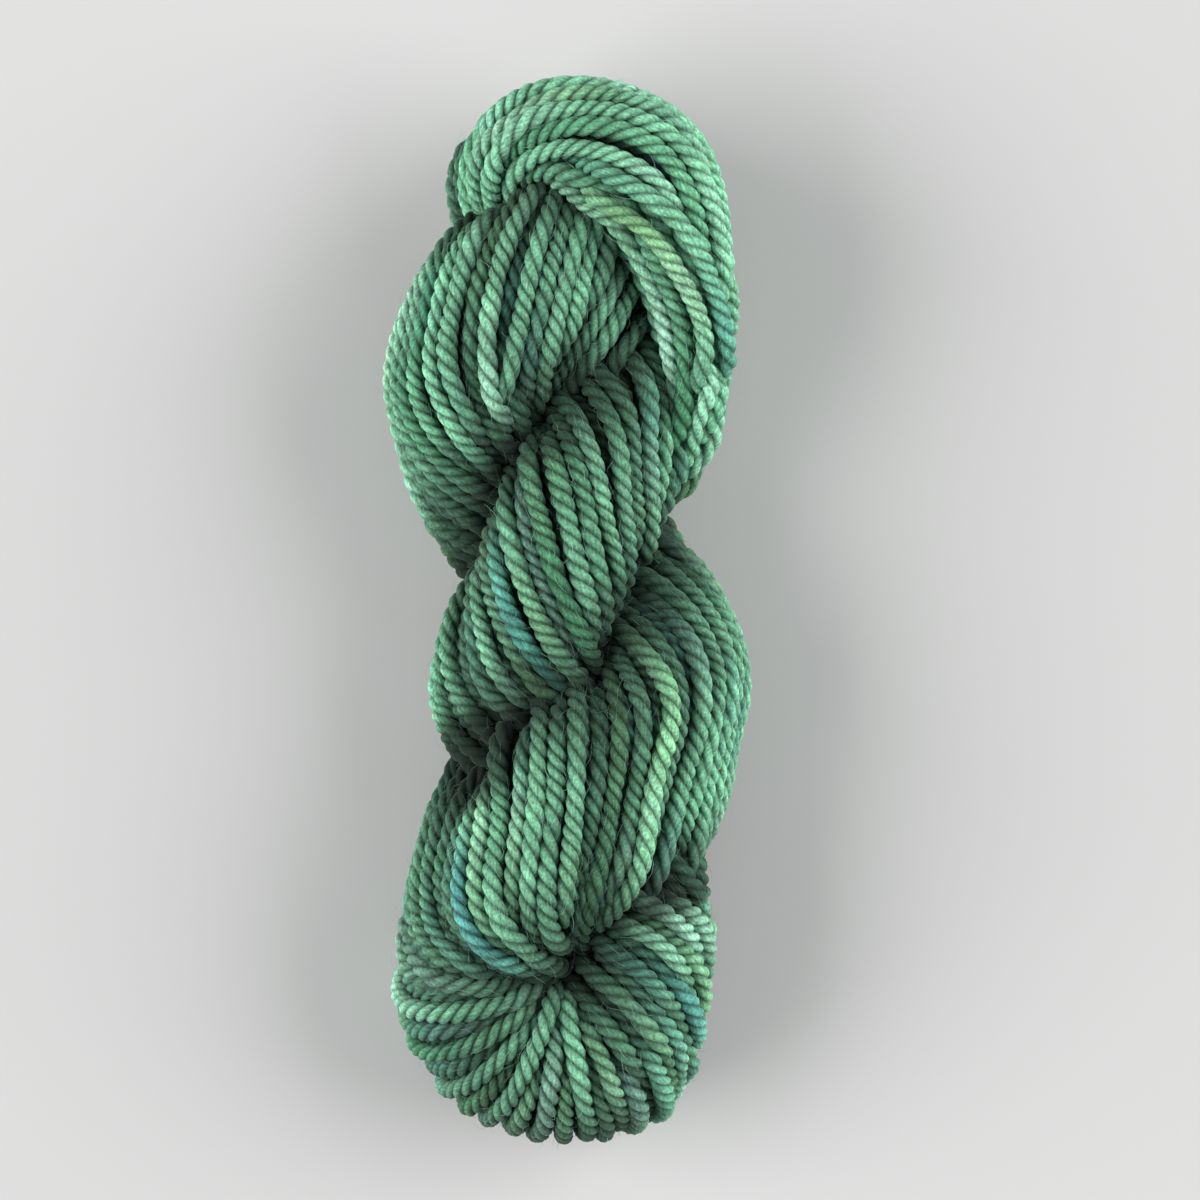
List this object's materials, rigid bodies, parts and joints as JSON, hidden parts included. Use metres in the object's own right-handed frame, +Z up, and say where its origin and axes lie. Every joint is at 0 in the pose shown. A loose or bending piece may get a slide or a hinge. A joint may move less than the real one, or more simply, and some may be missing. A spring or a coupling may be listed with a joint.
{
  "type": "skein of rug yarn",
  "caption": "Hank of thick green wool rug yarn, twisted on itself, folded back round its eye, with the end loop laid over the top and tucked down one side.",
  "frame": {"origin": "centre of the bounding box's bottom face, on the surface that the skein lies on", "axes": "+Y along the skein from the folded end to the tucked end, +X across it, +Z up"},
  "size_m": [0.094, 0.268, 0.0646],
  "materials": {
    "yarn": "soft matte wool, tonal hand-dyed green from emerald to teal and yellow-green"
  },
  "bodies": {
    "root": {"skein": "yarn"}
  },
  "joints": []
}
